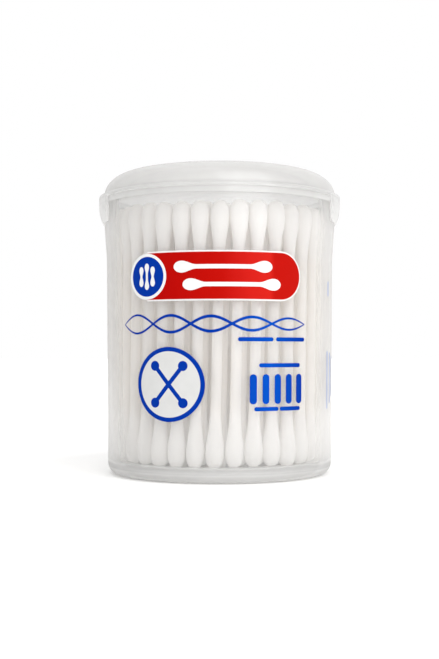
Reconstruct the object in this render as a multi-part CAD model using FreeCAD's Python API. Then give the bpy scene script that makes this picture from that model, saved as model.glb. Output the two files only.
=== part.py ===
import FreeCAD, Part

# Drum of cotton swabs: a moulded tub of frosted plastic, a push-on lid with two thumb tabs,
# a full load of swabs standing in the tub, and the print on the front of its wall.
# Millimetres, +Z up, origin at the middle of the foot ring's standing plane, print facing -Y.

import math
import os
import random

from FreeCAD import Placement, Rotation, Vector

# Swabs
SWAB_LENGTH = 75.0
SWAB_COUNT = 100
STICK_DIAMETER = 3.1
HEAD_DIAMETER = 5.3
HEAD_LENGTH = 15.0
HEAD_WIDEST = 5.4  # from the end of the cotton to its thickest place
HEAD_BROW = 1.7  # height of the rounded end
HEAD_BROW_DIAMETER = 4.5
HEAD_TIP_DIAMETER = 2.3
SWAB_SIDES = 6

# Tub
RIM_RADIUS = 35.0
WALL = 1.2
FLOOR_THICKNESS = 1.2
FOOT_HEIGHT = 2.6
FOOT_WIDTH = 1.2
FOOT_DRAFT = 0.5
CORNER_RADIUS = 3.5
FLOOR_BEVEL = 1.6
RIM_BREAK = 0.25
RIM_LAND = 8.35  # upright stretch under the rim that the lid slides over
FLARE_HEIGHT = 10.0
FLARE = 0.7  # how far the wall steps out over that height
TAPER = 0.5  # how far it leans out from the foot's corner up to there
GATE_RADIUS = 2.4
GATE_DEPTH = 0.35
MOUTH_ROOM = 3.95  # from the top of the swabs to the rim

# Lid
LID_WALL = 1.0
LID_FIT = 0.1
SKIRT_DROP = 2.2
SKIRT_WALL = 0.75
FLANGE_REACH = 0.85
FLANGE_THICKNESS = 1.0
FLANGE_OVER_RIM = 0.6
DOME_HEIGHT = 7.1  # from the flange's top to the end of the rounded shoulder
DOME_SET_IN = 0.5  # from the skirt's outside to the dome's outside
DOME_DRAFT = 0.2
SHOULDER_RADIUS = 5.6
SHOULDER_SWING = 52.0  # angle that it turns before the brow
BROW_RADIUS = 11.1  # flatter curve from the shoulder to the top
INNER_BEVEL_ACROSS = 6.2
INNER_BEVEL_DOWN = 4.6
CROWN = 0.2
PLUG_DEPTH = 1.9
PLUG_WALL = 0.8
TAB_HALF_ANGLE = 26.0
TAB_DROP = 7.6  # from the rim's plane to the tab's lower edge
TAB_STEP = 0.1  # from the skirt's foot to where the tab starts to curl in
TAB_TIP = 0.3
TAB_CORNER = 3.0
TAB_GAP = 0.15

# Loading of the tub, with bearings in degrees round it from the front towards +X
PACKING_GAP = 0.2
STANDING_GAP = 0.1
MOST_UNEVEN = 0.6  # how far a swab may stand above the others
MOST_FILLED = 0.74  # share of the tub's section that loose round heads can fill
FRONT_FEET = (-61, -50, -41, -31, -23, -14, -4, 4, 12, 22, 34, 45, 58)
FRONT_TOPS = (-64, -54, -40, -29, -19, -11, 0, 9, 19, 30, 42, 54, 67)
TWIST = 3.0  # how far round the other swabs' tops stand from their feet
JITTER = 0.8
ROUNDS = 900
SETTLED = 0.02
SEED = 3
GROUPS = 20

# Print, with each middle given by a bearing as above and a height
INK = 0.1
INK_GAP = 0.06
BANNER_BELOW_FLARE = 6.8  # from the flare's foot to the banner's middle
BANNER_HEIGHT = 13.0
BANNER_START = -36.3
BANNER_CAP = 30.0
DISC_RADIUS = 5.6
RING_RADIUS = 6.45
EMBLEM_BEARING = -24.5
EMBLEM_MIDDLE = 27.6
EMBLEM_RADIUS = 10.4
EMBLEM_LINE = 1.2
CROSS_LEAN = 40.0
CROSS_LENGTH = 13.4
CROSS_STEM = 1.2
CROSS_HEAD = 2.8
BARS_BEARING = 28.4
BARS_MIDDLE = 26.3
BARS_COUNT = 5
BARS_PITCH = 3.7
BARS_WIDTH = 2.0
BARS_HEIGHT = 8.3

# Places that follow from the sizes above
FLOOR_TOP = FOOT_HEIGHT + FLOOR_THICKNESS
SWAB_FOOT = FLOOR_TOP + STANDING_GAP
RIM_TOP = SWAB_FOOT + SWAB_LENGTH + MOUTH_ROOM
FLARE_TOP = RIM_TOP - RIM_LAND
FLARE_FOOT = FLARE_TOP - FLARE_HEIGHT
SHOULDER = RIM_RADIUS - FLARE
BASE_RADIUS = SHOULDER - TAPER
BANNER_MIDDLE = FLARE_FOOT - BANNER_BELOW_FLARE
SKIRT_INNER = RIM_RADIUS + LID_FIT
SKIRT_OUTER = SKIRT_INNER + SKIRT_WALL
SKIRT_FOOT = RIM_TOP - SKIRT_DROP
FLANGE_RADIUS = SKIRT_OUTER + FLANGE_REACH
FLANGE_TOP = RIM_TOP + FLANGE_OVER_RIM
DOME_RADIUS = SKIRT_OUTER - DOME_SET_IN
DOME_TOP = FLANGE_TOP + DOME_HEIGHT


def at(radius, height):
    """Point of a section, in the plane that is turned about the axis."""
    return Vector(radius, 0, height)


def line(a, b):
    return Part.LineSegment(a, b).toShape()


def polyline(points):
    return [line(a, b) for a, b in zip(points, points[1:], strict=False)]


def arc(centre, radius, start, end):
    """Arc of a section, from one angle to another in degrees above the outward radius."""
    points = []
    for degrees in (start, (start + end) / 2, end):
        angle = math.radians(degrees)
        points.append(centre + Vector(radius * math.cos(angle), 0, radius * math.sin(angle)))
    return Part.Arc(*points).toShape()


def curl(top, foot):
    """Arc that leaves its top straight down and bends inwards to its foot."""
    drop = top.z - foot.z
    inset = top.x - foot.x
    radius = (drop**2 + inset**2) / (2 * inset)
    swing = math.degrees(math.asin(drop / radius))
    return arc(top - Vector(radius, 0, 0), radius, 0, -swing)


def turned(edges, sweep=360.0):
    """Solid made by turning a closed section about the axis."""
    face = Part.Face(Part.Wire(Part.__sortEdges__(edges)))
    return face.revolve(Vector(0, 0, 0), Vector(0, 0, 1), sweep)


def wall_radius(height):
    """Outer radius of the wall's long taper."""
    share = (height - CORNER_RADIUS) / (FLARE_FOOT - CORNER_RADIUS)
    return BASE_RADIUS + share * (SHOULDER - BASE_RADIUS)


def tub():
    """One moulding: foot ring, raised floor with its gate dimple, tapered wall, flare and rim."""
    corner_r = BASE_RADIUS - CORNER_RADIUS
    foot_inner = corner_r - FOOT_WIDTH
    bevel_z = FLOOR_TOP + FLOOR_BEVEL
    bevel_r = wall_radius(bevel_z) - WALL
    under = [
        at(0, FLOOR_TOP),
        at(0, FOOT_HEIGHT + GATE_DEPTH),
        at(GATE_RADIUS, FOOT_HEIGHT + GATE_DEPTH),
        at(GATE_RADIUS, FOOT_HEIGHT),
        at(foot_inner - FOOT_DRAFT, FOOT_HEIGHT),
        at(foot_inner, 0),
        at(corner_r, 0),
    ]
    round_the_wall = [
        at(BASE_RADIUS, CORNER_RADIUS),
        at(SHOULDER, FLARE_FOOT),
        at(RIM_RADIUS, FLARE_TOP),
        at(RIM_RADIUS, RIM_TOP - RIM_BREAK),
        at(RIM_RADIUS - RIM_BREAK, RIM_TOP),
        at(RIM_RADIUS - WALL + RIM_BREAK, RIM_TOP),
        at(RIM_RADIUS - WALL, RIM_TOP - RIM_BREAK),
        at(RIM_RADIUS - WALL, FLARE_TOP),
        at(SHOULDER - WALL, FLARE_FOOT),
        at(bevel_r, bevel_z),
        at(bevel_r - FLOOR_BEVEL, FLOOR_TOP),
        at(0, FLOOR_TOP),
    ]
    edges = polyline(under)
    edges.append(arc(at(corner_r, CORNER_RADIUS), CORNER_RADIUS, -90, 0))
    edges += polyline(round_the_wall)
    return turned(edges)


def thumb_tab():
    """Tab that hangs from the flange on the +X side and curls in to the wall."""
    foot = RIM_TOP - TAB_DROP
    root = FLANGE_TOP - FLANGE_THICKNESS / 2
    bend = SKIRT_FOOT - TAB_STEP
    buried = SKIRT_OUTER - SKIRT_WALL / 2
    inner_foot = at(RIM_RADIUS + TAB_GAP, foot)
    outer_foot = at(RIM_RADIUS + TAB_GAP + TAB_TIP, foot)
    edges = polyline(
        [
            at(SKIRT_OUTER, bend),
            at(buried, SKIRT_FOOT + TAB_STEP),
            at(buried, root),
            at(FLANGE_RADIUS, root),
            at(FLANGE_RADIUS, bend),
        ]
    )
    edges.append(curl(at(FLANGE_RADIUS, bend), outer_foot))
    edges.append(line(outer_foot, inner_foot))
    edges.append(curl(at(SKIRT_OUTER, bend), inner_foot))
    band = turned(edges, 2 * TAB_HALF_ANGLE)
    band.rotate(Vector(0, 0, 0), Vector(0, 0, 1), -TAB_HALF_ANGLE)
    half_width = FLANGE_RADIUS * math.sin(math.radians(TAB_HALF_ANGLE))
    corner = Vector(0, -half_width, foot)
    window = Part.makeBox(FLANGE_RADIUS, 2 * half_width, root - foot, corner)
    lower = [e for e in window.Edges if e.BoundBox.ZMax < bend and e.BoundBox.YLength < TAB_CORNER]
    return band.common(window.makeFillet(TAB_CORNER, lower))


def lid():
    """One moulding: skirt, flange, rounded dome, plug ring inside the mouth and two thumb tabs."""
    plug_outer = RIM_RADIUS - WALL - LID_FIT
    plug_inner = plug_outer - PLUG_WALL
    ledge = RIM_TOP + LID_WALL
    top_r = DOME_RADIUS - DOME_DRAFT
    inner_r = top_r - LID_WALL
    swing = math.radians(SHOULDER_SWING)
    between = BROW_RADIUS - SHOULDER_RADIUS
    shoulder_z = DOME_TOP - BROW_RADIUS + between * math.sin(swing)
    shoulder = at(top_r - SHOULDER_RADIUS, shoulder_z)
    brow = shoulder - at(between * math.cos(swing), between * math.sin(swing))
    edges = polyline(
        [
            at(brow.x, DOME_TOP),
            at(0, DOME_TOP + CROWN),
            at(0, DOME_TOP + CROWN - LID_WALL),
            at(inner_r - INNER_BEVEL_ACROSS, DOME_TOP - LID_WALL),
            at(inner_r, DOME_TOP - LID_WALL - INNER_BEVEL_DOWN),
            at(inner_r, ledge),
            at(plug_inner, ledge),
            at(plug_inner, RIM_TOP - PLUG_DEPTH),
            at(plug_outer, RIM_TOP - PLUG_DEPTH),
            at(plug_outer, RIM_TOP),
            at(SKIRT_INNER, RIM_TOP),
            at(SKIRT_INNER, SKIRT_FOOT),
            at(SKIRT_OUTER, SKIRT_FOOT),
            at(SKIRT_OUTER, FLANGE_TOP - FLANGE_THICKNESS),
            at(FLANGE_RADIUS, FLANGE_TOP - FLANGE_THICKNESS),
            at(FLANGE_RADIUS, FLANGE_TOP),
            at(DOME_RADIUS, FLANGE_TOP),
            at(top_r, shoulder_z),
        ]
    )
    edges.append(arc(shoulder, SHOULDER_RADIUS, 0, SHOULDER_SWING))
    edges.append(arc(brow, BROW_RADIUS, SHOULDER_SWING, 90))
    right = thumb_tab()
    left = right.copy()
    left.rotate(Vector(0, 0, 0), Vector(0, 0, 1), 180)
    return turned(edges).fuse([right, left]).removeSplitter()


def swab():
    """Paper stick with its two cotton heads, standing on the origin, as flats between stations."""
    head = [
        (0, HEAD_TIP_DIAMETER),
        (HEAD_BROW, HEAD_BROW_DIAMETER),
        (HEAD_WIDEST, HEAD_DIAMETER),
        (HEAD_LENGTH, STICK_DIAMETER),
    ]
    stations = head + [(SWAB_LENGTH - height, wide) for height, wide in reversed(head)]
    rings = [corners(wide / 2, height) for height, wide in stations]
    faces = [flat(rings[0]), flat(rings[-1])]
    for low, high in zip(rings, rings[1:], strict=False):
        for side in range(SWAB_SIDES):
            after = (side + 1) % SWAB_SIDES
            faces.append(flat([low[side], low[after], high[after], high[side]]))
    return Part.Solid(Part.Shell(faces))


def corners(radius, height):
    angles = [2 * math.pi * k / SWAB_SIDES for k in range(SWAB_SIDES)]
    return [Vector(radius * math.cos(a), radius * math.sin(a), height) for a in angles]


def flat(points):
    return Part.Face(Part.makePolygon([*points, points[0]]))


def on_circle(bearing, radius):
    """Point at a bearing in degrees from the front, -Y, towards +X."""
    angle = math.radians(bearing)
    return [radius * math.sin(angle), -radius * math.cos(angle)]


def starting_places(count, reach, spacing):
    """Rings of places from the wall inwards, the first of them with the front swabs in it."""
    gap = 360.0 - (FRONT_FEET[-1] - FRONT_FEET[0])
    behind = int(math.radians(gap) * reach / spacing)
    places = [on_circle(b, reach) for b in FRONT_FEET]
    places += [on_circle(FRONT_FEET[-1] + gap * k / behind, reach) for k in range(1, behind)]
    radius = reach - 0.9 * spacing
    while len(places) < count and radius > spacing / 2:
        room = int(2 * math.pi * radius / spacing)
        places += [on_circle(360.0 * k / room, radius) for k in range(room)]
        radius -= 0.9 * spacing
    heart = max(count - len(places), 1)
    places += [on_circle(360.0 * k / heart, spacing / 2) for k in range(heart)]
    return places[:count]


def turned_tops(feet):
    """Starting places of the tops: the front ones as seen, the rest a little further round."""
    tops = []
    for number, (x, y) in enumerate(feet):
        bearing = math.degrees(math.atan2(x, -y)) + TWIST
        if number < len(FRONT_TOPS):
            bearing = FRONT_TOPS[number]
        tops.append(on_circle(bearing, math.hypot(x, y)))
    return tops


def shaken(places, amount, rng):
    return [[x + rng.uniform(-amount, amount), y + rng.uniform(-amount, amount)] for x, y in places]


def settle(places, reach, spacing):
    """Pushes crowded places apart until none are nearer than spacing, all inside a circle."""
    for _ in range(ROUNDS):
        worst = 0.0
        for number, a in enumerate(places):
            for b in places[number + 1 :]:
                dx = b[0] - a[0]
                dy = b[1] - a[1]
                apart = math.hypot(dx, dy)
                short = spacing - apart
                if short > 0:
                    worst = max(worst, short)
                    push = short / (2 * max(apart, SETTLED))
                    a[0] -= dx * push
                    a[1] -= dy * push
                    b[0] += dx * push
                    b[1] += dy * push
        for place in places:
            out = math.hypot(*place)
            if out > reach:
                place[0] *= reach / out
                place[1] *= reach / out
        if worst < SETTLED:
            break
    return places


def swab_places():
    """Placement of each swab: heads spread over the floor and, with a small lean, under the mouth."""
    rng = random.Random(SEED)
    spacing = HEAD_DIAMETER + PACKING_GAP
    low_z = SWAB_FOOT + HEAD_WIDEST
    high_z = SWAB_FOOT + SWAB_LENGTH - HEAD_WIDEST
    low_reach = wall_radius(low_z) - WALL - spacing / 2
    high_reach = SHOULDER - WALL - spacing / 2
    room = MOST_FILLED * (low_reach + spacing / 2) ** 2 / (spacing / 2) ** 2
    count = min(SWAB_COUNT, int(room))
    feet = starting_places(count, low_reach, spacing)
    low = settle(shaken(feet, JITTER / 2, rng), low_reach, spacing)
    high = settle(shaken(turned_tops(low), JITTER, rng), high_reach, spacing)
    placed = []
    for (x0, y0), (x1, y1) in zip(low, high, strict=True):
        lean = Vector(x1 - x0, y1 - y0, high_z - low_z)
        lean.normalize()
        lift = rng.uniform(0, MOST_UNEVEN)
        foot = Vector(x0, y0, low_z + lift) - lean * HEAD_WIDEST
        placed.append(Placement(foot, Rotation(Vector(0, 0, 1), lean)))
    return placed


def swab_groups():
    """The standing swabs, shared out by bearing round the tub, as many to each group."""
    places = sorted(swab_places(), key=lambda p: math.atan2(p.Base.y, p.Base.x))
    size = len(places) / GROUPS
    one = swab()
    groups = []
    for k in range(GROUPS):
        share = places[round(k * size) : round((k + 1) * size)]
        groups.append(Part.makeCompound([one.transformed(place.Matrix) for place in share]))
    return groups


def ink_layer():
    """Thin conical layer just off the outside of the wall's long taper."""
    inner = INK_GAP
    outer = INK_GAP + INK
    foot = at(BASE_RADIUS, CORNER_RADIUS)
    head = at(SHOULDER, FLARE_FOOT)
    corners_of_section = [
        foot + Vector(inner, 0, 0),
        foot + Vector(outer, 0, 0),
        head + Vector(outer, 0, 0),
        head + Vector(inner, 0, 0),
        foot + Vector(inner, 0, 0),
    ]
    return turned(polyline(corners_of_section))


def printed(stamp):
    """Solids of the ink layer that a stamp takes in."""
    return Part.makeCompound(ink_layer().common(stamp).Solids)


def facing(stamp, bearing):
    """Turns a stamp that faces the front to a bearing."""
    return stamp.rotated(Vector(0, 0, 0), Vector(0, 0, 1), bearing)


def round_stamp(radius, x=0.0, z=0.0):
    """Round stamp that faces the front and reaches out through the wall."""
    return Part.makeCylinder(radius, 2 * RIM_RADIUS, Vector(x, 0, z), Vector(0, -1, 0))


def bar_stamp(length, width):
    """Upright bar with round ends that faces the front, centred on the origin's height."""
    half = (length - width) / 2
    bar = Part.makeBox(width, 2 * RIM_RADIUS, 2 * half, Vector(-width / 2, -2 * RIM_RADIUS, -half))
    return bar.fuse([round_stamp(width / 2, 0, half), round_stamp(width / 2, 0, -half)])


def disc_stamp(radius):
    """Round stamp on the disc's place at the banner's left end."""
    return facing(round_stamp(radius, 0, BANNER_MIDDLE), BANNER_START)


def banner_stamp():
    """Banner that starts behind the disc and ends in a half round."""
    low = BANNER_MIDDLE - BANNER_HEIGHT / 2
    cap = facing(round_stamp(BANNER_HEIGHT / 2, 0, BANNER_MIDDLE), BANNER_CAP)
    sweep = BANNER_CAP - BANNER_START
    band = Part.makeCylinder(2 * RIM_RADIUS, BANNER_HEIGHT, Vector(0, 0, low), Vector(0, 0, 1), sweep)
    return facing(band, BANNER_START - 90).fuse(cap).cut(disc_stamp(RING_RADIUS))


def ring_stamp():
    return disc_stamp(RING_RADIUS).cut(disc_stamp(DISC_RADIUS))


def cross_stamp():
    """Two crossed swab shapes that face the front."""
    shapes = []
    for lean in (-CROSS_LEAN, CROSS_LEAN):
        knobs = [round_stamp(CROSS_HEAD / 2, 0, end * CROSS_LENGTH / 2) for end in (-1, 1)]
        one = bar_stamp(CROSS_LENGTH, CROSS_STEM).fuse(knobs)
        shapes.append(one.rotated(Vector(0, 0, 0), Vector(0, 1, 0), lean))
    return shapes[0].fuse(shapes[1])


def emblem_stamps():
    """The emblem's blue ring with its crossed swabs, and the white field between them."""
    inside = round_stamp(EMBLEM_RADIUS - EMBLEM_LINE)
    ring = round_stamp(EMBLEM_RADIUS).cut(inside)
    cross = cross_stamp()
    placed = []
    for stamp in (Part.makeCompound([ring, cross]), inside.cut(cross)):
        stamp.translate(Vector(0, 0, EMBLEM_MIDDLE))
        placed.append(facing(stamp, EMBLEM_BEARING))
    return placed


def bars_stamp():
    """Row of bold upright bars."""
    bars = []
    for k in range(BARS_COUNT):
        bar = bar_stamp(BARS_HEIGHT, BARS_WIDTH)
        bar.translate(Vector((k - (BARS_COUNT - 1) / 2) * BARS_PITCH, 0, BARS_MIDDLE))
        bars.append(bar)
    return facing(Part.makeCompound(bars), BARS_BEARING)


def main():
    os.makedirs("parts", exist_ok=True)
    emblem_blue, emblem_white = emblem_stamps()
    nodes = {
        "tub": tub(),
        "lid": lid(),
        "print_red_banner": printed(banner_stamp()),
        "print_white_ring": printed(ring_stamp()),
        "print_blue_disc": printed(disc_stamp(DISC_RADIUS)),
        "print_blue_emblem": printed(emblem_blue),
        "print_white_emblem": printed(emblem_white),
        "print_blue_bars": printed(bars_stamp()),
    }
    for number, group in enumerate(swab_groups(), 1):
        nodes[f"swabs_{number:02d}"] = group
    for name, shape in nodes.items():
        shape.exportStep(f"parts/{name}.step")
        print(name, len(shape.Solids), "solids", round(shape.Volume, 2), "mm3", shape.isValid())


main()
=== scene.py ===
import logging
import math
import random
from collections.abc import Callable, Sequence
from dataclasses import dataclass, field
from enum import Enum

import bmesh
import bpy
from bmesh.types import BMesh, BMVert
from bpy.types import Material, Mesh, Node, Object, World
from bpy.types import NodeSocket as Socket
from mathutils import Matrix, Vector


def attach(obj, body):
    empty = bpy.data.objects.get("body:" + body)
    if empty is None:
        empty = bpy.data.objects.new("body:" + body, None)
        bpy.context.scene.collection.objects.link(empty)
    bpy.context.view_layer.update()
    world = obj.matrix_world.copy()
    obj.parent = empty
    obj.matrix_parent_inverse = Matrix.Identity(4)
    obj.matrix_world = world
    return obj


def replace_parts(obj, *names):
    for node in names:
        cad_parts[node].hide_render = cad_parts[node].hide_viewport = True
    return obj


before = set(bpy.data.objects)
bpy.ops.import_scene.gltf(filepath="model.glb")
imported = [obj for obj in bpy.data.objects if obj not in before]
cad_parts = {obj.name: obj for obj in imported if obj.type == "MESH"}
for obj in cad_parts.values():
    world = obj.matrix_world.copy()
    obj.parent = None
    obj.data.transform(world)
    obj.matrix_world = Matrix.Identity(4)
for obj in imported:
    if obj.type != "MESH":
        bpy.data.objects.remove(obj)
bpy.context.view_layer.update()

# Looks of a round tub of cotton swabs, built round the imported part. Sizes are in millimetres
# until a mesh is finished, and bearings are degrees round the tub from its printed front
# towards +X.

log = logging.getLogger("swab_tub")
MM = 0.001
FULL_TURN = 2 * math.pi
WHITE_LIGHT = (1, 1, 1, 1)
MERGE_REACH = 0.0005  # distance within which two corners of a piece are one
CUT_REACH = 1e-5  # distance within which a cut runs through a corner
Colour = tuple[float, float, float]
Steps = tuple[tuple[float, float], ...]  # heights from the lowest up, each with its value


class Body(Enum):
    """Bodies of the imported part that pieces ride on."""

    TUB = "tub"
    LID = "lid"


class Slot(Enum):
    """Material slots of the part's record; no piece in this script is given one."""

    TUB = "tub_plastic"
    LID = "lid_plastic"
    COTTON = "cotton_and_paper"
    BLUE = "blue_ink"
    WHITE = "white_ink"


class NodeTree:
    """Small builder for the node tree of a material or of the world."""

    def __init__(self, owner: Material | World, output: str = "OutputMaterial") -> None:
        """Empties the owner's tree and gives it an output.

        Args:
            owner: The material or the world.
            output: Output's node type without its ShaderNode prefix.
        """
        owner.use_nodes = True
        self.owner = owner
        self.tree = owner.node_tree
        self.tree.nodes.clear()
        self.output = self.add(output)

    def add(self, kind: str, inputs: dict | None = None, **settings: object) -> Node:
        """Adds a node.

        Args:
            kind: Node type without its ShaderNode prefix.
            inputs: Values or output sockets by input name or number.
            settings: Properties of the node.

        Returns:
            The new node.
        """
        node = self.tree.nodes.new("ShaderNode" + kind)
        for key, value in settings.items():
            setattr(node, key, value)
        for key, value in (inputs or {}).items():
            if isinstance(value, Socket):
                self.tree.links.new(value, node.inputs[key])
            else:
                node.inputs[key].default_value = value
        return node

    def place(self, stretch: Sequence[float] = (1, 1, 1)) -> Socket:
        """Gives object coordinates in millimetres.

        Args:
            stretch: How many times denser a pattern is along each axis.

        Returns:
            The socket with the coordinates.
        """
        coordinates = self.add("TexCoord").outputs["Object"]
        scale = [factor / MM for factor in stretch]
        return self.add("Mapping", {"Vector": coordinates, "Scale": scale}).outputs["Vector"]

    def noise(self, place: Socket, size: float, detail: float = 2.0) -> Socket:
        """Gives a noise whose features are about a size in millimetres."""
        inputs = {"Vector": place, "Scale": 1 / size, "Detail": detail}
        return self.add("TexNoise", inputs).outputs["Fac"]

    def mapped(self, value: Socket, low: float, high: float,
               start: float = 0.0, end: float = 1.0) -> Socket:
        """Maps a value from a start and end to a low and high, held at both."""
        inputs = {"Value": value, "From Min": start, "From Max": end,
                  "To Min": low, "To Max": high}
        return self.add("MapRange", inputs).outputs["Result"]

    def calc(self, operation: str, first: object, second: object, **settings: object) -> Socket:
        """Gives the result of an operation on two values."""
        inputs = {0: first, 1: second}
        return self.add("Math", inputs, operation=operation, **settings).outputs[0]

    def by_height(self, place: Socket, levels: Steps) -> Socket:
        """Gives a value that changes with the height along straight lines.

        Args:
            place: Coordinates in millimetres.
            levels: Heights from the lowest up, each with its value.

        Returns:
            The socket with the value.
        """
        height = self.add("SeparateXYZ", {0: place}).outputs["Z"]
        total = self.add("Value")
        total.outputs[0].default_value = levels[0][1]
        total = total.outputs[0]
        for (low, start), (high, end) in zip(levels, levels[1:], strict=False):
            step = self.mapped(height, 0, end - start, low, high)
            total = self.calc("ADD", total, step)
        return total

    def tinted(self, factor: object, low: Colour | Socket, high: Colour | Socket) -> Socket:
        """Gives a colour between two by a factor."""
        low, high = (end if isinstance(end, Socket) else (*end, 1) for end in (low, high))
        return self.add("Mix", {0: factor, 6: low, 7: high}, data_type="RGBA").outputs[2]

    def bump(self, height: Socket, depth: float) -> Socket:
        """Gives a normal for a height that is worth a depth in millimetres."""
        inputs = {"Height": height, "Distance": depth * MM, "Strength": 1.0}
        return self.add("Bump", inputs).outputs["Normal"]

    def mix(self, factor: object, low: Node, high: Node) -> Node:
        """Mixes two shaders by a factor that is a socket or a number."""
        inputs = {0: factor, 1: low.outputs[0], 2: high.outputs[0]}
        return self.add("MixShader", inputs)

    def finish(self, shader: Node) -> Material | World:
        """Links a shader to the output and returns the tree's owner."""
        self.tree.links.new(shader.outputs[0], self.output.inputs["Surface"])
        return self.owner


@dataclass(frozen=True)
class FrostedPlastic:
    """Satin see-through plastic, clear where it is looked at squarely, milky at an angle."""

    name: str
    colour: Colour
    haze: float
    edge_haze: float
    edge: tuple[float, float]  # turn from the eye over which the haze grows
    glow: float = 0.45  # share of the milky part that light from behind shines through
    cloud_size: float = 14.0
    cloud: float = 0.03
    cloud_span: tuple[float, float] = (0.3, 0.7)
    gloss_roughness: float = 0.24
    gloss: float = 0.04
    edge_gloss: float = 0.35
    gloss_power: float = 5.0
    grain_size: float = 0.5
    grain_depth: float = 0.004
    levels: Steps = ((0.0, 0.0),)  # added haze by height
    painted_shading: Steps = ((0.0, 1.0),)  # painted shade and painted light: share of the milky colour kept, by height
    painted_side_shade: Steps = ((0.0, 0.0),)  # painted shade: share of the milky colour taken off at the sides, by height
    side: tuple[float, float] = (0.03, 0.3)  # turn from the eye over which the painted side shade grows

    def material(self) -> Material:
        """Makes the material.

        Returns:
            The plastic as a mix of a clear, a milky and a glossy share, the milky share with
            painted shade and light by height and painted shade at the sides.
        """
        tree = NodeTree(bpy.data.materials.new(self.name))
        place = tree.place()
        normal = tree.bump(tree.noise(place, self.grain_size), self.grain_depth)
        facing = tree.add("LayerWeight", {"Blend": 0.5}).outputs["Facing"]
        haze = tree.mapped(facing, self.haze, self.edge_haze, *self.edge)
        haze = tree.calc("ADD", haze, tree.by_height(place, self.levels))
        clouds = tree.noise(place, self.cloud_size)
        cloud = tree.mapped(clouds, -self.cloud, self.cloud, *self.cloud_span)
        haze = tree.calc("ADD", haze, cloud, use_clamp=True)
        clear = tree.add("BsdfTransparent", {"Color": WHITE_LIGHT})
        # Painted shade and light: the milky colour is darkened or lightened by height, and
        # darkened towards the sides.
        painted_brightness = tree.by_height(place, self.painted_shading)
        side = tree.mapped(facing, 0, 1, *self.side)
        painted_side_dark = tree.calc("MULTIPLY", tree.by_height(place, self.painted_side_shade), side)
        painted_brightness = tree.calc("SUBTRACT", painted_brightness, painted_side_dark)
        colour = tree.tinted(painted_brightness, (0, 0, 0), self.colour)
        lit = tree.add("BsdfDiffuse", {"Color": colour, "Normal": normal})
        through = tree.add("BsdfTranslucent", {"Color": colour, "Normal": normal})
        milky = tree.mix(self.glow, lit, through)
        glance = tree.calc("POWER", facing, self.gloss_power)
        shine = tree.mapped(glance, self.gloss, self.edge_gloss)
        gloss = tree.add("BsdfGlossy", {"Roughness": self.gloss_roughness, "Normal": normal})
        return tree.finish(tree.mix(shine, tree.mix(haze, clear, milky), gloss))


@dataclass(frozen=True)
class Fibrous:
    """Matt fibres that let some light through."""

    roughness: float
    shine: float
    sheen: float = 0.12
    sheen_roughness: float = 0.5

    def made(self, tree: NodeTree, colour: Socket, normal: Socket, inner: object,
             glow: object) -> Material:
        """Ends the tree of a fibrous finish.

        Args:
            tree: Tree of the finish.
            colour: Colour of the surface.
            normal: Its bumped normal.
            inner: Colour of the light that comes through.
            glow: Share of light that comes through.

        Returns:
            The finished material.
        """
        inputs = {"Base Color": colour, "Roughness": self.roughness,
                  "Specular IOR Level": self.shine, "Sheen Weight": self.sheen,
                  "Sheen Roughness": self.sheen_roughness, "Normal": normal}
        through = tree.add("BsdfTranslucent", {"Color": inner, "Normal": normal})
        return tree.finish(tree.mix(glow, tree.add("BsdfPrincipled", inputs), through))


@dataclass(frozen=True)
class Cotton(Fibrous):
    """Wound cotton with fine fibres that run round the head."""

    roughness: float = 0.95
    shine: float = 0.1
    name: str = "wound_cotton"
    pale: Colour = (0.98, 0.972, 0.96)
    deep: Colour = (0.95, 0.93, 0.91)
    inner: Colour = (0.98, 0.95, 0.92)  # of light that comes through the upper heads
    painted_low_light: Colour = (0.998, 0.994, 0.988)  # painted light: whiter light through the lower heads, which brightens them
    painted_low_share: Steps = ((12.0, 1.0), (30.0, 0.0))
    glow: Steps = ((8.0, 0.38), (22.0, 0.28), (50.0, 0.22))  # share of light let through, raised low down as painted light on the lower heads
    fibre_size: float = 0.35
    fibre_squeeze: float = 2.6  # how much closer the fibres lie along the head
    fibre_span: tuple[float, float] = (0.3, 0.6)
    fibre_depth: float = 0.11
    tuft_size: float = 1.6
    tuft_depth: float = 0.16
    fluff: Steps = ((12, 1.0), (20, 0.1), (63, 0.1), (71, 1.0))  # share of both depths

    def material(self) -> Material:
        """Makes the material.

        Returns:
            Matt cotton with two scales of bump.
        """
        tree = NodeTree(bpy.data.materials.new(self.name))
        place = tree.place()
        fibres = tree.noise(tree.place((1, 1, self.fibre_squeeze)), self.fibre_size, 4.0)
        fluff = tree.by_height(place, self.fluff)
        normal = tree.bump(tree.calc("MULTIPLY", fibres, fluff), self.fibre_depth)
        tufts = tree.calc("MULTIPLY", tree.noise(place, self.tuft_size), fluff)
        inputs = {"Height": tufts, "Distance": self.tuft_depth * MM, "Normal": normal}
        normal = tree.add("Bump", inputs).outputs["Normal"]
        colour = tree.tinted(tree.mapped(fibres, 0, 1, *self.fibre_span), self.deep, self.pale)
        # Painted light: the lower heads let through more and whiter light than the upper ones.
        inner = tree.tinted(tree.by_height(place, self.painted_low_share), self.inner, self.painted_low_light)
        return self.made(tree, colour, normal, inner, tree.by_height(place, self.glow))


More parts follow.
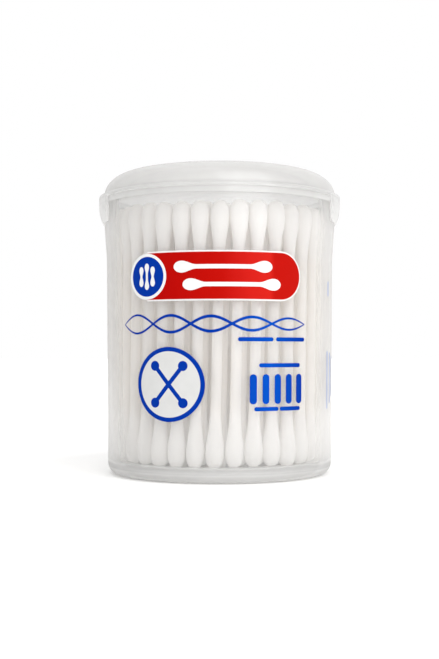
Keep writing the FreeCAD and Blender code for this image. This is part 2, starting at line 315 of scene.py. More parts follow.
@dataclass(frozen=True)
class RolledPaper(Fibrous):
    """Smooth rolled paper with faint lengthwise streaks."""

    roughness: float = 0.7
    shine: float = 0.2
    name: str = "rolled_paper"
    pale: Colour = (0.975, 0.963, 0.945)
    deep: Colour = (0.955, 0.935, 0.91)
    inner: Colour = (0.99, 0.965, 0.935)
    glow: float = 0.36
    streak_size: float = 0.9
    streak_stretch: float = 0.08  # how dense the streaks are along the stick
    streak_span: tuple[float, float] = (0.35, 0.65)
    streak_depth: float = 0.02

    def material(self) -> Material:
        """Makes the material.

        Returns:
            Paper with streaks along its length.
        """
        tree = NodeTree(bpy.data.materials.new(self.name))
        streaks = tree.noise(tree.place((1, 1, self.streak_stretch)), self.streak_size, 3.0)
        share = tree.mapped(streaks, 0, 1, *self.streak_span)
        colour = tree.tinted(share, self.deep, self.pale)
        normal = tree.bump(streaks, self.streak_depth)
        return self.made(tree, colour, normal, (*self.inner, 1), self.glow)


@dataclass(frozen=True)
class Ink:
    """Glossy printing ink that covers the plastic under it almost evenly."""

    name: str
    colour: Colour
    thin: Colour  # where the film is thinnest
    sweep_and_highlight: tuple[tuple[float, Colour], ...] = ()  # printed shades by their place along X, with a painted highlight of the front lamp in the bright stops
    sweep_share: float = 0.85
    spot_size: float = 3.0
    spot_span: tuple[float, float] = (0.3, 0.7)
    roughness: float = 0.3
    rough_span: tuple[float, float] = (0.8, 1.3)  # shares of the roughness over the ripple
    shine: float = 0.03
    ripple_size: float = 1.2
    ripple_depth: float = 0.006

    def painted_shading(self, tree: NodeTree, place: Socket) -> Socket:
        """Gives the printed shades from left to right, with a painted highlight of the front lamp
        in its bright band.

        Args:
            tree: Tree of the ink.
            place: Object coordinates in millimetres.

        Returns:
            The socket with the colour.
        """
        first = self.sweep_and_highlight[0][0]
        span = self.sweep_and_highlight[-1][0] - first
        across = tree.add("SeparateXYZ", {0: place}).outputs["X"]
        share = tree.mapped(across, 0, 1, first, first + span)
        ramp = tree.add("ValToRGB", {"Fac": share})
        stops = ramp.color_ramp.elements
        while len(stops) < len(self.sweep_and_highlight):
            stops.new(1.0)
        for stop, (x, colour) in zip(stops, self.sweep_and_highlight, strict=True):
            stop.position = (x - first) / span
            stop.color = (*colour, 1)
        return ramp.outputs["Color"]

    def material(self) -> Material:
        """Makes the material.

        Returns:
            A glossy film with slight unevenness of colour and level.
        """
        tree = NodeTree(bpy.data.materials.new(self.name))
        place = tree.place()
        spots = tree.mapped(tree.noise(place, self.spot_size, 4.0), 0, 1, *self.spot_span)
        ripple = tree.noise(place, self.ripple_size)
        rough = tree.mapped(ripple, *(self.roughness * share for share in self.rough_span))
        colour = tree.tinted(spots, self.thin, self.colour)
        # The sweep carries a painted highlight as well as printed shades.
        if self.sweep_and_highlight:
            colour = tree.tinted(self.sweep_share, colour, self.painted_shading(tree, place))
        inputs = {"Base Color": colour, "Roughness": rough, "Specular IOR Level": self.shine,
                  "Normal": tree.bump(ripple, self.ripple_depth)}
        return tree.finish(tree.add("BsdfPrincipled", inputs))


@dataclass(frozen=True)
class Corner:
    """Corner of a turned section, with its rounding, and a row number if it is marked."""

    radius: float
    height: float
    rounding: float = 0.0
    steps: int = 4
    row: int = 0


def section(corners: Sequence[Corner]) -> BMesh:
    """Draws a section as an open chain of edges and rounds its corners.

    Args:
        corners: The section's corners in order, in the plane of X and Z.

    Returns:
        A mesh with the chain, and a layer with the row numbers.
    """
    bm = bmesh.new()
    row = bm.verts.layers.int.new("row")
    chain = [bm.verts.new((c.radius, 0, c.height)) for c in corners]
    for a, b in zip(chain, chain[1:], strict=False):
        bm.edges.new((a, b))
    for corner, vert in zip(corners, chain, strict=True):
        vert[row] = corner.row
        if corner.rounding:
            before, after = (e.other_vert(vert).co - vert.co for e in vert.link_edges)
            reach = corner.rounding / math.tan(before.angle(after) / 2)
            bmesh.ops.bevel(bm, geom=[vert], offset=reach, segments=corner.steps,
                            profile=0.5, affect="VERTICES", material=-1)
    return bm


def turn(bm: BMesh, steps: int) -> None:
    """Turns a chain of edges into a closed shell about the Z axis.

    Args:
        bm: Mesh with the chain.
        steps: Number of steps of the full turn.
    """
    bmesh.ops.spin(bm, geom=[*bm.verts, *bm.edges], cent=(0, 0, 0), axis=(0, 0, 1),
                   angle=FULL_TURN, steps=steps, use_merge=True)


def close(bm: BMesh, sharp: float = 40.0) -> None:
    """Merges doubles, points the faces outwards, and shades smooth except over sharp edges.

    Args:
        bm: Mesh of a closed shape.
        sharp: Angle between two faces, in degrees, from which their edge is sharp.
    """
    bmesh.ops.remove_doubles(bm, verts=bm.verts, dist=MERGE_REACH)
    bmesh.ops.dissolve_degenerate(bm, edges=bm.edges, dist=MERGE_REACH)
    bmesh.ops.recalc_face_normals(bm, faces=bm.faces)
    for face in bm.faces:
        face.smooth = True
    for edge in bm.edges:
        edge.smooth = edge.calc_face_angle(0) < math.radians(sharp)


def piece(name: str, bm: BMesh, materials: Sequence[Material], body: Body) -> Object:
    """Turns a mesh in millimetres into a piece that rides on a body.

    Args:
        name: Name of the piece.
        bm: Its finished mesh, which is freed.
        materials: Its materials, by face index.
        body: The body it rides on.

    Returns:
        The new object.
    """
    bmesh.ops.scale(bm, vec=(MM, MM, MM), verts=bm.verts)
    mesh = bpy.data.meshes.new(name)
    bm.to_mesh(mesh)
    bm.free()
    for material in materials:
        mesh.materials.append(material)
    obj = bpy.data.objects.new(name, mesh)
    bpy.context.scene.collection.objects.link(obj)
    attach(obj, body.value)
    log.info("%s: %d faces on %s", name, len(mesh.polygons), body.value)
    return obj


@dataclass
class Tub:
    """The tub's one moulding, with its foot ring, raised floor, tapered wall, flare and rim."""

    foot_inner: float = 29.1
    foot_draft: float = 0.5
    foot_height: float = 2.6
    foot_round: float = 0.3
    foot_fillet: float = 0.6
    gate_radius: float = 2.4
    gate_depth: float = 0.35
    gate_draft: float = 0.1
    gate_round: float = 0.12
    base_radius: float = 33.77
    corner_round: float = 3.5
    taper: float = 0.5  # how far the wall leans out between its corner and the flare
    shoulder_radius: float = 34.3
    flare_foot: float = 64.5
    flare_top: float = 74.5
    flare_round: float = 30.0
    rim_radius: float = 35.0
    rim_top: float = 82.85
    rim_round: float = 0.35
    wall: float = 1.2
    floor_top: float = 3.8
    floor_round: float = 2.4
    steps: int = 180

    def wall_radius(self, height: float) -> float:
        """Gives the radius of the wall's outside at a height of its long taper."""
        share = (height - self.corner_round) / (self.flare_foot - self.corner_round)
        low = self.shoulder_radius - self.taper
        return low + share * (self.shoulder_radius - low)

    def corners(self) -> list[Corner]:
        """Lists the section's corners from the middle of the underside round to the floor."""
        inside = self.wall
        gate_top = self.foot_height + self.gate_depth
        return [
            Corner(0, gate_top),
            Corner(self.gate_radius, gate_top, self.gate_round, 2),
            Corner(self.gate_radius + self.gate_draft, self.foot_height, self.gate_round, 2),
            Corner(self.foot_inner - self.foot_draft, self.foot_height, self.foot_fillet),
            Corner(self.foot_inner, 0, self.foot_round),
            Corner(self.base_radius, 0, self.corner_round, 12),
            Corner(self.shoulder_radius, self.flare_foot, self.flare_round, 6),
            Corner(self.rim_radius, self.flare_top, self.flare_round, 6),
            Corner(self.rim_radius, self.rim_top, self.rim_round),
            Corner(self.rim_radius - inside, self.rim_top, self.rim_round),
            Corner(self.rim_radius - inside, self.flare_top, self.flare_round, 6),
            Corner(self.shoulder_radius - inside, self.flare_foot, self.flare_round, 6),
            Corner(self.base_radius - inside, self.floor_top, self.floor_round, 10),
            Corner(0, self.floor_top),
        ]

    def build(self, plastic: Material) -> Object:
        """Turns the moulding.

        Args:
            plastic: The tub's plastic.

        Returns:
            The piece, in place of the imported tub.
        """
        bm = section(self.corners())
        turn(bm, self.steps)
        close(bm)
        obj = piece("tub_moulding", bm, [plastic], Body.TUB)
        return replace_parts(obj, "tub")


@dataclass
class Lid:
    """The lid's one moulding, with its skirt, flange, dome, plug ring and two thumb tabs."""

    rim_top: float = 82.85
    skirt_inner: float = 35.1
    skirt_outer: float = 35.85
    skirt_foot: float = 80.65
    flange_radius: float = 36.7
    skirt_round: float = 0.2
    flange_foot: float = 82.45
    flange_top: float = 83.45
    flange_round: float = 0.45
    dome_radius: float = 35.35
    dome_fillet: float = 0.3
    dome_draft: float = 0.2
    dome_top: float = 90.55
    crown: float = 0.2
    shoulder_across: float = 9.0
    shoulder_down: float = 6.8
    shoulder_steps: int = 14
    wall: float = 1.0
    ledge_round: float = 0.2
    seat_round: float = 0.15
    plug_outer: float = 33.7
    plug_inner: float = 32.9
    plug_foot: float = 80.95
    plug_round: float = 0.3
    tab_foot: float = 75.25
    tab_bend: float = 80.55
    tab_half_angle: float = 25.0
    tab_corner: float = 3.4
    tab_inner: float = 35.15
    tab_outer: float = 35.45
    tab_rows: int = 8  # rows of corners on each of a tab's two faces
    row_pitch: float = 0.01  # between the rows before they are drawn down
    beside: float = 0.01  # from a tab's side to where the flange's own edge starts
    steps: int = 240

    def shoulder(self, inset: float) -> list[Corner]:
        """Lists places on the dome's rounded shoulder from the top down.

        Args:
            inset: Distance in from the dome's outside.

        Returns:
            Places on a quarter of an ellipse.
        """
        across = self.shoulder_across - inset
        down = self.shoulder_down - inset
        middle = self.dome_radius - self.dome_draft - self.shoulder_across
        places = []
        for k in range(self.shoulder_steps + 1):
            angle = math.pi / 2 * (1 - k / self.shoulder_steps)
            height = self.dome_top - self.shoulder_down + down * math.sin(angle)
            places.append(Corner(middle + across * math.cos(angle), height))
        return places

    def before_tab(self) -> list[Corner]:
        """Lists the section's corners from the middle of the top down to the flange."""
        return [
            Corner(0, self.dome_top + self.crown),
            *self.shoulder(0),
            Corner(self.dome_radius, self.flange_top, self.dome_fillet, 3),
            Corner(self.flange_radius, self.flange_top, self.flange_round),
        ]

    def tab_rows_of_corners(self) -> list[Corner]:
        """Lists the marked corners that a tab is drawn from, bunched under the flange."""
        rows = []
        for number in range(1, 2 * self.tab_rows + 1):
            radius = self.flange_radius if number <= self.tab_rows else self.skirt_outer
            rows.append(Corner(radius, self.flange_foot - self.row_pitch * number, row=number))
        return rows

    def after_tab(self) -> list[Corner]:
        """Lists the section's corners from the skirt's foot round to the middle of the inside."""
        side = self.dome_radius - self.dome_draft - self.wall
        ledge = self.rim_top + self.wall
        return [
            Corner(self.skirt_inner, self.skirt_foot, self.skirt_round, 2),
            Corner(self.skirt_inner, self.rim_top),
            Corner(self.plug_outer, self.rim_top, self.seat_round, 2),
            Corner(self.plug_outer, self.plug_foot, self.plug_round, 3),
            Corner(self.plug_inner, self.plug_foot, self.plug_round, 3),
            Corner(self.plug_inner, ledge, self.plug_round, 3),
            Corner(side, ledge, self.ledge_round, 2),
            *reversed(self.shoulder(self.wall)),
            Corner(0, self.dome_top + self.crown - self.wall),
        ]

    def tab_radius(self, height: float, top: float, foot: float) -> float:
        """Gives the radius of a face of a tab, which is straight to the bend and then curls in.

        Args:
            height: Height on the tab.
            top: The face's radius above the bend.
            foot: Its radius at the tab's lower edge.

        Returns:
            The face's radius at that height.
        """
        if height >= self.tab_bend:
            return top
        drop = self.tab_bend - self.tab_foot
        inset = top - foot
        curl = (drop**2 + inset**2) / (2 * inset)
        down = min(self.tab_bend - height, drop)
        return top - curl + math.sqrt(curl**2 - down**2)

    def tab_edge(self, bearing: float) -> float:
        """Gives the height of a tab's lower edge, or the flange's beside it.

        Args:
            bearing: Degrees from the tab's middle.

        Returns:
            The edge's height, with the tab's corners rounded.
        """
        inside = math.radians(self.tab_half_angle - abs(bearing)) * self.flange_radius
        if inside < -self.beside:
            return self.flange_foot
        if inside >= self.tab_corner:
            return self.tab_foot
        fall = math.sqrt(self.tab_corner**2 - (self.tab_corner - inside) ** 2)
        return self.tab_foot + self.tab_corner - fall

    def shape_tabs(self, bm: BMesh, row: bmesh.types.BMLayerItem) -> None:
        """Draws the marked rows of the turned lid down into the two tabs.

        Args:
            bm: The turned lid.
            row: Layer with the number of each marked row, from 1.
        """
        for vert in bm.verts:
            number = vert[row]
            if not number:
                continue
            angle = math.atan2(vert.co.y, abs(vert.co.x))
            edge = self.tab_edge(math.degrees(angle))
            outer = number <= self.tab_rows
            if outer:
                share = number / self.tab_rows
                height = self.flange_foot + (edge - self.flange_foot) * share
                radius = self.tab_radius(height, self.flange_radius, self.tab_outer)
            else:
                share = (number - self.tab_rows - 1) / (self.tab_rows - 1)
                height = edge + (self.skirt_foot - edge) * share
                radius = self.tab_radius(height, self.skirt_outer, self.tab_inner)
            out = Vector((vert.co.x, vert.co.y, 0)).normalized() * radius
            vert.co = (out.x, out.y, height)

    def build(self, plastic: Material) -> Object:
        """Turns the moulding and draws its tabs.

        Args:
            plastic: The lid's plastic.

        Returns:
            The piece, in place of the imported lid.
        """
        bm = section([*self.before_tab(), *self.tab_rows_of_corners(), *self.after_tab()])
        turn(bm, self.steps)
        self.shape_tabs(bm, bm.verts.layers.int["row"])
        close(bm)
        obj = piece("lid_moulding", bm, [plastic], Body.LID)
        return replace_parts(obj, "lid")


@dataclass
class Swabs:
    """The standing swabs, each a rolled paper stick with a wound cotton head at both ends."""

    length: float = 75.0
    stick_radius: float = 1.5
    head: tuple[tuple[float, float], ...] = (
        (0.0, 0.0), (0.08, 0.68), (0.32, 1.25), (0.8, 1.78), (1.5, 2.18), (2.4, 2.44),
        (3.5, 2.6), (4.8, 2.65), (6.2, 2.58), (7.8, 2.38), (9.5, 2.12), (11.2, 1.88),
        (13.0, 1.7), (15.0, 1.58), (16.5, 1.5),
    )
    sides: int = 14
    reach_in: float = 2.0  # how far the stick goes into a head
    head_sharp: float = 70.0
    uneven: float = 0.05  # share by which a head may be thinner, or half as much fatter
    ripple: float = 0.01
    full_swell: float = 2.0  # radius from which a head swells by its whole share
    variants: int = 5
    seed: int = 11
    packed_sides: int = 6
    packed_merge: float = 1e-6

    def head_mesh(self, rng: random.Random) -> BMesh:
        """Turns one head with its end at the origin and pushes it slightly out of true."""
        bm = bmesh.new()
        fat = rng.uniform(-self.uneven, self.uneven / 2)
        chain = []
        for height, radius in self.head:
            ripple = rng.uniform(-self.ripple, self.ripple)
            swell = 1 + (fat + ripple) * min(1.0, radius / self.full_swell)
            chain.append(bm.verts.new((radius * swell, 0, height)))
        for a, b in zip(chain, chain[1:], strict=False):
            bm.edges.new((a, b))
        turn(bm, self.sides)
        return bm

    def template(self, rng: random.Random) -> Mesh:
        """Makes one swab that stands on the origin, with paper as material 0 and cotton as 1.

        Args:
            rng: Source of the small differences between swabs.

        Returns:
            The swab's mesh.
        """
        bm = bmesh.new()
        reach = self.head[-1][0] - self.reach_in
        bmesh.ops.create_cone(bm, cap_ends=True, segments=self.sides, radius1=self.stick_radius,
                              radius2=self.stick_radius, depth=self.length - 2 * reach)
        bmesh.ops.translate(bm, vec=(0, 0, self.length / 2), verts=bm.verts)
        close(bm)
        for flip in (False, True):
            head = self.head_mesh(rng)
            if flip:
                bmesh.ops.scale(head, vec=(1, 1, -1), verts=head.verts)
                bmesh.ops.translate(head, vec=(0, 0, self.length), verts=head.verts)
            close(head, self.head_sharp)
            mesh = bpy.data.meshes.new("head")
            head.to_mesh(mesh)
            head.free()
            old = set(bm.faces)
            bm.from_mesh(mesh)
            bpy.data.meshes.remove(mesh)
            for face in bm.faces:
                if face not in old:
                    face.material_index = 1
        mesh = bpy.data.meshes.new("swab")
        bm.to_mesh(mesh)
        bm.free()
        return mesh

    def axes(self, node: Object) -> list[tuple[Vector, Vector]]:
        """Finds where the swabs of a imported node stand.

        Args:
            node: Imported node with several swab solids.

        Returns:
            Foot and top of each swab in millimetres.
        """
        bm = bmesh.new()
        bm.from_mesh(node.data)
        bmesh.ops.remove_doubles(bm, verts=bm.verts, dist=self.packed_merge)
        waiting = set(bm.verts)
        found = []
        while waiting:
            island = set()
            edge = [next(iter(waiting))]
            while edge:
                vert = edge.pop()
                if vert in island:
                    continue
                island.add(vert)
                edge += [e.other_vert(vert) for e in vert.link_edges]
            waiting -= island
            by_height = sorted((v.co / MM for v in island), key=lambda p: p.z)
            foot = sum(by_height[:self.packed_sides], Vector()) / self.packed_sides
            top = sum(by_height[-self.packed_sides:], Vector()) / self.packed_sides
            found.append((foot, top))
        bm.free()
        return sorted(found, key=lambda pair: tuple(pair[0]))

    def build(self, paper: Material, cotton: Material) -> list[Object]:
        """Stands a detailed swab in place of each packed one.

        Args:
            paper: Finish of the sticks.
            cotton: Finish of the heads.

        Returns:
            One piece for each packed group.
        """
        rng = random.Random(self.seed)
        templates = [self.template(rng) for _ in range(self.variants)]
        pieces = []
        for name in sorted(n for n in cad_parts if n.startswith("swabs_")):
            bm = bmesh.new()
            for foot, top in self.axes(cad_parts[name]):
                old = set(bm.verts)
                bm.from_mesh(rng.choice(templates))
                fresh = [v for v in bm.verts if v not in old]
                lean = Vector((0, 0, 1)).rotation_difference(top - foot).to_matrix().to_4x4()
                roll = Matrix.Rotation(rng.uniform(0, FULL_TURN), 4, "Z")
                stand = Matrix.Translation(foot) @ lean @ roll
                bmesh.ops.transform(bm, matrix=stand, verts=fresh)
            number = name.split("_")[1]
            obj = piece(f"swab_group_{number}", bm, [paper, cotton], Body.TUB)
            pieces.append(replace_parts(obj, name))
        for mesh in templates:
            bpy.data.meshes.remove(mesh)
        return pieces


# Places of the trim. Each line has its length, bearing and height.
BANNER_SWABS = ((1.8, 2.45), (6.2, -2.45))  # bearing, and height above the banner's middle
BANNER_SWAB_SIZE = (28, 1.2, 3.3)  # length, and widths of stem and heads
DISC_SWABS = ((-3.4, 5.6), (0, 7.4), (3.4, 5.6))  # bearing from the disc's middle, and length
DISC_SWAB_WIDTHS = (0.7, 1.5)
FLOURISH_LENGTH = 57.6
FLOURISH_WIDTH = 0.85
FLOURISH_BEARING = -3.8
FLOURISH_HEIGHT = 44.4
FLOURISH_RISE = 2.7
FLOURISH_WAVES = 5  # half waves along it
FLOURISH_FALL = 0.45  # share of the rise that is lost by its right end
LINES = ((10.4, 17.3, 40.1), (10.2, 36.0, 40.1), (13.6, 30.2, 32.9),
         (7.4, 22.6, 20.8), (7.2, 35.6, 20.8))
SIDE_LINES = ((4.5, 69, 55.2), (17, 68, 28.4), (15, 73, 29.0), (12, 78, 29.5))


@dataclass
class Print:
    """The printed front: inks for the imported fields, and thin trim wrapped on the wall."""

    tub: Tub
    film: float = 0.05
    on_wall: float = 0.03
    on_ink: float = 0.17
    slice_width: float = 1.4
    banner_height: float = 13.0
    banner_middle: float = 57.7
    banner_start: float = -36.3
    banner_cap: float = 30.0
    outline: float = 0.45
    line_width: float = 1.15
    side_line_width: float = 1.0
    crossing_lift: float = 0.06
    bar_round: float = 0.499  # share of a bar's width that its corners are rounded by
    disc_steps: int = 48
    stroke_steps: int = 120
    end_crowding: float = 0.9  # how closely a stroke's steps crowd at its ends
    drop: tuple[float, float] = (0.7, 2.0)  # a head's brow and its end, as shares of its width
    blunt: float = 0.02  # share of its width that its tip keeps
    thin_end: float = 0.25
    sharp: float = 30.0
    made: list[Object] = field(default_factory=list)

    def bar(self, length: float, width: float) -> BMesh:
        """Draws a flat bar with round ends, along X, facing the front."""
        bm = bmesh.new()
        bmesh.ops.create_grid(bm, x_segments=1, y_segments=1, size=0.5)
        bmesh.ops.scale(bm, vec=(length, width, 1), verts=bm.verts)
        bmesh.ops.bevel(bm, geom=bm.verts[:], offset=width * self.bar_round, segments=6,
                        profile=0.5, affect="VERTICES", material=-1)
        return bm

    def disc(self, radius: float, hole: float = 0.0) -> BMesh:
        """Draws a flat disc, or a ring if it has a hole."""
        bm = bmesh.new()
        steps = self.disc_steps
        bmesh.ops.create_circle(bm, cap_ends=not hole, segments=steps, radius=radius)
        if hole:
            outer = bm.edges[:]
            ring = bmesh.ops.create_circle(bm, cap_ends=False, segments=steps, radius=hole)
            between = {e for v in ring["verts"] for e in v.link_edges}
            bmesh.ops.bridge_loops(bm, edges=[*outer, *between])
        return bm

    def stroke(self, length: float, width: Callable[[float], float],
               height: Callable[[float], float] = lambda share: 0.0) -> BMesh:
        """Draws a flat line whose width and height change along X.

        Args:
            length: Length along X.
            width: Gives the width from the share of the length.
            height: Gives the height of the line's middle from that share.

        Returns:
            The line's flat mesh.
        """
        bm = bmesh.new()
        bmesh.ops.create_grid(bm, x_segments=self.stroke_steps, y_segments=1, size=0.5)
        for vert in bm.verts:
            share = vert.co.x + 0.5
            share -= math.sin(FULL_TURN * share) / FULL_TURN * self.end_crowding
            across = vert.co.y * width(share)
            vert.co = ((share - 0.5) * length, across + height(share), 0)
        return bm

    def swab_sign(self, length: float, stem: float, knob: float) -> BMesh:
        """Draws a lying swab with a drop at each end.

        Args:
            length: Length of the sign.
            stem: Width of its stem.
            knob: Width of its heads.

        Returns:
            The sign's flat mesh.
        """
        brow, end = self.drop

        def width(share: float) -> float:
            """Gives the swab's width at a share of its length."""
            along = min(share, 1 - share) * length / knob
            if along < brow:
                return knob * math.sqrt(max(1 - (1 - along / brow) ** 2, self.blunt**2))
            fall = min((along - brow) / (end - brow), 1.0)
            return stem + (knob - stem) * (0.5 + 0.5 * math.cos(math.pi * fall))

        return self.stroke(length, width)

    def pen_line(self, length: float, width: float, height: Callable[[float], float]) -> BMesh:
        """Draws a line that rises and falls, with its ends drawn out thin."""
        def thick(share: float) -> float:
            """Gives the line's width at a share of its length."""
            swell = math.sin(math.pi * share) ** 0.5
            return width * (self.thin_end + (1 - self.thin_end) * swell)

        return self.stroke(length, thick, height)

    def wrap(self, name: str, bm: BMesh, bearing: float, height: float, lift: float,
             ink: Material, turned: float = 0.0) -> Object:
        """Gives a flat shape its thickness and bends it round the wall.

        Args:
            name: Name of the piece.
            bm: Flat shape in the plane of X and Y, where Y becomes the height.
            bearing: Bearing of the shape's middle.
            height: Height of the shape's middle.
            lift: Distance of its underside from the wall.
            ink: Its material.
            turned: Turn of the shape in degrees before it is bent.

        Returns:
            The piece.
        """
        spun = Matrix.Rotation(math.radians(turned), 3, "Z")
        bmesh.ops.rotate(bm, cent=(0, 0, 0), matrix=spun, verts=bm.verts)
        low = min(v.co.x for v in bm.verts)
        high = max(v.co.x for v in bm.verts)
        cuts = int((high - low) / self.slice_width) if len(bm.faces) < self.stroke_steps else 0
        for k in range(1, cuts + 1):
            geometry = [*bm.verts, *bm.edges, *bm.faces]
            cut = (low + (high - low) * k / (cuts + 1), 0, 0)
            bmesh.ops.bisect_plane(bm, geom=geometry, dist=CUT_REACH, plane_co=cut,
                                   plane_no=(1, 0, 0))
        grown = bmesh.ops.extrude_face_region(bm, geom=bm.faces[:])["geom"]
        top = [g for g in grown if isinstance(g, BMVert)]
        bmesh.ops.translate(bm, vec=(0, 0, self.film), verts=top)
        for vert in bm.verts:
            across, up, out = vert.co
            level = height + up
            radius = self.tub.wall_radius(level) + lift + out
            angle = math.radians(bearing) + across / self.tub.wall_radius(level)
            vert.co = (radius * math.sin(angle), -radius * math.cos(angle), level)
        close(bm, self.sharp)
        obj = piece(name, bm, [ink], Body.TUB)
        self.made.append(obj)
        return obj

    def dress_fields(self, inks: dict[str, Material]) -> None:
        """Gives each packed field of print its ink."""
        for name, ink in inks.items():
            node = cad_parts[name]
            for material_slot in node.material_slots:
                material_slot.material = ink
            log.info("%s: inked", name)

    def outline_banner(self, white: Material) -> None:
        """Draws the pale edge that follows the banner's top, bottom and round end."""
        radius = self.tub.wall_radius(self.banner_middle)
        start = math.radians(self.banner_start) * radius
        cap = math.radians(self.banner_cap) * radius
        for name, side in (("bottom", -1), ("top", 1)):
            bm = bmesh.new()
            bmesh.ops.create_grid(bm, x_segments=1, y_segments=1, size=0.5)
            bmesh.ops.scale(bm, vec=(cap - start, self.outline, 1), verts=bm.verts)
            level = self.banner_middle + side * (self.banner_height + self.outline) / 2
            middle = math.degrees((start + cap) / 2 / radius)
            self.wrap(f"banner_edge_{name}", bm, middle, level, self.on_wall, white)
        half = self.banner_height / 2
        bm = self.disc(half + self.outline, half)
        gone = [v for v in bm.verts if v.co.x < -MERGE_REACH]
        bmesh.ops.delete(bm, geom=gone, context="VERTS")
        self.wrap("banner_edge_end", bm, self.banner_cap, self.banner_middle, self.on_wall,
                  white)

    def build(self, red: Material, blue: Material, white: Material, milk: Material,
              pale: Material) -> list[Object]:
        """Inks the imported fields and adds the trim.

        Args:
            red: Ink of the banner.
            blue: Ink of the disc, the emblem, the bars and the lines.
            white: Ink of the ring and of what lies on the banner.
            milk: Thin white ink of the emblem's ground.
            pale: Thin blue ink of the small lines at the side.

        Returns:
            The trim's pieces.
        """
        self.dress_fields({
            "print_red_banner": red, "print_white_ring": white, "print_blue_disc": blue,
            "print_blue_emblem": blue, "print_white_emblem": milk, "print_blue_bars": blue,
        })
        self.outline_banner(white)
        for number, (bearing, rise) in enumerate(BANNER_SWABS, 1):
            sign = self.swab_sign(*BANNER_SWAB_SIZE)
            self.wrap(f"banner_swab_{number}", sign, bearing, self.banner_middle + rise,
                      self.on_ink, white)
        for number, (shift, length) in enumerate(DISC_SWABS, 1):
            sign = self.swab_sign(length, *DISC_SWAB_WIDTHS)
            self.wrap(f"disc_swab_{number}", sign, self.banner_start + shift,
                      self.banner_middle, self.on_ink, white, 90)
        for number, rise in enumerate((FLOURISH_RISE, -FLOURISH_RISE), 1):
            def sway(share: float, rise: float = rise) -> float:
                """Gives the flourish's height at a share of its length."""
                wave = math.sin(FLOURISH_WAVES * math.pi * share)
                return rise * wave * (1 - FLOURISH_FALL * share)

            line = self.pen_line(FLOURISH_LENGTH, FLOURISH_WIDTH, sway)
            self.wrap(f"blue_flourish_{number}", line, FLOURISH_BEARING, FLOURISH_HEIGHT,
                      self.on_wall + self.crossing_lift * (number - 1), blue)
        for number, (length, bearing, level) in enumerate(LINES, 1):
            self.wrap(f"blue_line_{number}", self.bar(length, self.line_width), bearing, level,
                      self.on_wall, blue)
        for number, (length, bearing, level) in enumerate(SIDE_LINES, 1):
            self.wrap(f"side_line_{number}", self.bar(length, self.side_line_width), bearing,
                      level, self.on_wall, pale, 90)
        return self.made


# Name, place, width, height and power of each lamp
LAMPS = (("front_softbox", (0.54, -1.0, 0.7), 1.1, 1.9, 11.0),
         ("top_softbox", (-0.2, 0.1, 1.3), 1.0, 1.0, 2.0))


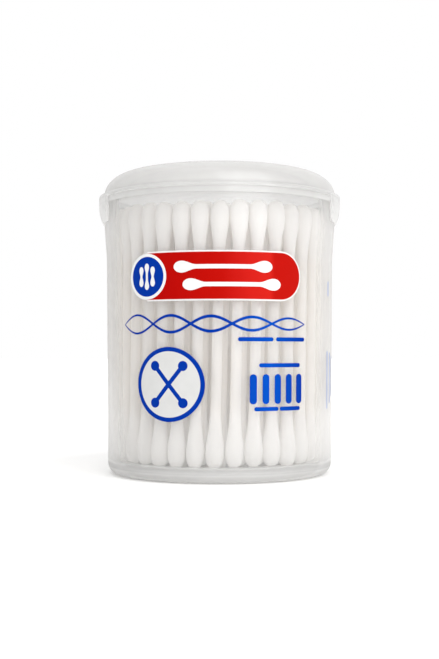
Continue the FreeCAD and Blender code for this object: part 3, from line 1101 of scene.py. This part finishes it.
@dataclass
class Studio:
    """White floor and backdrop, soft light, and the camera."""

    eye: tuple[float, float, float] = (0.0, -0.3325, 0.0363)
    pitch: float = 1.24  # degrees above level
    lens: float = 59.38
    sensor: float = 36.0
    clip: tuple[float, float] = (0.01, 50.0)
    sky: float = 0.76  # strength of the backdrop's light on the object
    floor_half: float = 6.0  # metres
    floor_colour: Colour = (0.96, 0.96, 0.955)
    floor_glow: float = 0.12  # strength at the tub, growing to 1 over the span
    glow_span: tuple[float, float] = (70.0, 260.0)
    aim: tuple[float, float, float] = (0.0, 0.0, 0.045)
    light_depth: int = 12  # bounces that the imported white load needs

    def camera(self) -> None:
        """Sets up the camera at the photograph's height and distance."""
        data = bpy.data.cameras.new("camera")
        data.lens = self.lens
        data.sensor_width = self.sensor
        data.clip_start, data.clip_end = self.clip
        obj = bpy.data.objects.new("camera", data)
        obj.location = self.eye
        obj.rotation_euler = (math.radians(90 + self.pitch), 0, 0)
        bpy.context.scene.collection.objects.link(obj)
        bpy.context.scene.camera = obj

    def seen(self, tree: NodeTree) -> Socket:
        """Gives 1 for rays from the eye, also by way of gloss or glass."""
        path = tree.add("LightPath").outputs
        total = path["Is Camera Ray"]
        for name in ("Is Glossy Ray", "Is Transmission Ray"):
            total = tree.calc("MAXIMUM", total, path[name])
        return total

    def backdrop(self) -> None:
        """Makes the world white to the eye and a plain even light to the object."""
        tree = NodeTree(bpy.data.worlds.new("backdrop"), "OutputWorld")
        strength = tree.mapped(self.seen(tree), self.sky, 1.0)
        light = tree.add("Background", {"Color": WHITE_LIGHT, "Strength": strength})
        bpy.context.scene.world = tree.finish(light)

    def floor(self) -> None:
        """Lays a pale floor that looks white where no shadow falls on it."""
        bm = bmesh.new()
        bmesh.ops.create_grid(bm, x_segments=1, y_segments=1, size=self.floor_half)
        mesh = bpy.data.meshes.new("floor")
        bm.to_mesh(mesh)
        bm.free()
        obj = bpy.data.objects.new("floor", mesh)
        bpy.context.scene.collection.objects.link(obj)
        tree = NodeTree(bpy.data.materials.new("pale_floor"))
        plain = tree.add("BsdfDiffuse", {"Color": (*self.floor_colour, 1)})
        flat = tree.add("VectorMath", {0: tree.place((1, 1, 0))}, operation="LENGTH")
        level = tree.mapped(flat.outputs["Value"], self.floor_glow, 1.0, *self.glow_span)
        glow = tree.add("Emission", {"Color": WHITE_LIGHT, "Strength": level})
        bright = tree.add("AddShader", {0: plain.outputs[0], 1: glow.outputs[0]})
        mesh.materials.append(tree.finish(tree.mix(self.seen(tree), plain, bright)))

    def lamp(self, name: str, place: Sequence[float], width: float, height: float,
             power: float) -> None:
        """Hangs a soft flat lamp that points at the tub's middle.

        Args:
            name: Name of the lamp.
            place: Where it hangs, in metres.
            width: Its width in metres.
            height: Its height in metres.
            power: Its power in watts.
        """
        data = bpy.data.lights.new(name, "AREA")
        data.shape = "RECTANGLE"
        data.size = width
        data.size_y = height
        data.energy = power
        obj = bpy.data.objects.new(name, data)
        towards = Vector(self.aim) - Vector(place)
        turn_to = towards.to_track_quat("-Z", "Y").to_matrix().to_4x4()
        obj.matrix_world = Matrix.Translation(Vector(place)) @ turn_to
        bpy.context.scene.collection.objects.link(obj)

    def build(self) -> None:
        """Sets up everything round the object."""
        self.camera()
        self.backdrop()
        self.floor()
        for lamp in LAMPS:
            self.lamp(*lamp)
        bpy.context.scene.cycles.diffuse_bounces = self.light_depth
        bpy.context.scene.cycles.max_bounces = 2 * self.light_depth
        bpy.context.scene.view_settings.view_transform = "Standard"


def main() -> None:
    """Builds the scene in order."""
    logging.basicConfig(level=logging.INFO, format="%(message)s")
    tub_plastic = FrostedPlastic(
        "frosted_tub", (0.95, 0.947, 0.94), haze=0.15, edge_haze=0.9, edge=(0.52, 0.82),
        # painted shade towards the tub's sides
        edge_gloss=0.12, painted_side_shade=((0.0, 0.06),),
        levels=((0.0, 0.55), (2.2, 0.6), (3.1, 0.8), (4.2, 0.5), (5.0, 0.05), (9.0, 0.05),
                (24.0, 0.03), (46.0, 0.025), (56.0, 0.0), (76.0, 0.0), (80.0, 0.05),
                (82.3, 0.05), (82.6, 0.65)),
        # painted shade in lines at the foot and under the rim, painted light low on the wall
        painted_shading=((0.4, 0.9), (0.7, 1.0), (1.1, 1.0), (1.3, 0.94), (1.9, 0.94), (2.15, 1.0),
                (2.4, 1.0), (2.75, 0.86), (3.8, 0.86), (4.4, 1.03), (16.0, 1.035), (30.0, 0.96),
                (72, 0.96), (79.5, 0.9), (82.85, 0.88)),
    )
    lid_plastic = FrostedPlastic(
        "frosted_lid", (0.97, 0.967, 0.96), haze=0.42, edge_haze=0.85, edge=(0.4, 1.0),
        gloss=0.055, gloss_roughness=0.13, edge_gloss=0.2,
        # painted shade towards the sides of the dome
        painted_side_shade=((80.0, 0.01), (82.9, 0.03), (83.6, 0.14)),
        # painted shade in lines at the crease, under the flange and at the skirt's foot
        painted_shading=((80.0, 0.985), (80.5, 0.98), (80.7, 0.92), (81.0, 0.98), (81.8, 0.96),
                (82.4, 0.885), (82.65, 0.95), (82.9, 0.97), (83.2, 0.96), (83.5, 0.88),
                (83.9, 0.92), (84.5, 0.99)),
    )
    # The bright stops of the red and blue sweeps are a painted highlight of the front lamp.
    red = Ink("red_ink", (0.62, 0.006, 0.002), (0.68, 0.01, 0.005), (
        (-15, (0.43, 0.001, 0.0005)), (1, (0.47, 0.003, 0.001)), (9, (0.60, 0.012, 0.008)),
        (14, (0.63, 0.017, 0.011)), (15.4, (0.49, 0.006, 0.003)), (24, (0.49, 0.007, 0.004)),
    ))
    blue = Ink("blue_ink", (0.0, 0.035, 0.34), (0.0, 0.05, 0.42), (
        (-26, (0.0, 0.032, 0.33)), (0, (0.0, 0.036, 0.36)), (14, (0.0, 0.085, 0.55)),
        (24, (0.0, 0.032, 0.34)),
    ))
    white = Ink("white_ink", (0.88, 0.88, 0.88), (0.84, 0.84, 0.84))
    milk = Ink("milk_ink", (0.71, 0.71, 0.7), (0.68, 0.68, 0.67))
    pale_blue = Ink("pale_blue_ink", (0.4, 0.46, 0.66), (0.46, 0.52, 0.68), shine=0.0)
    tub = Tub()
    tub.build(tub_plastic.material())
    Lid().build(lid_plastic.material())
    Swabs().build(RolledPaper().material(), Cotton().material())
    Print(tub).build(red.material(), blue.material(), white.material(), milk.material(),
                     pale_blue.material())
    Studio().build()


if __name__ == "__main__":
    main()
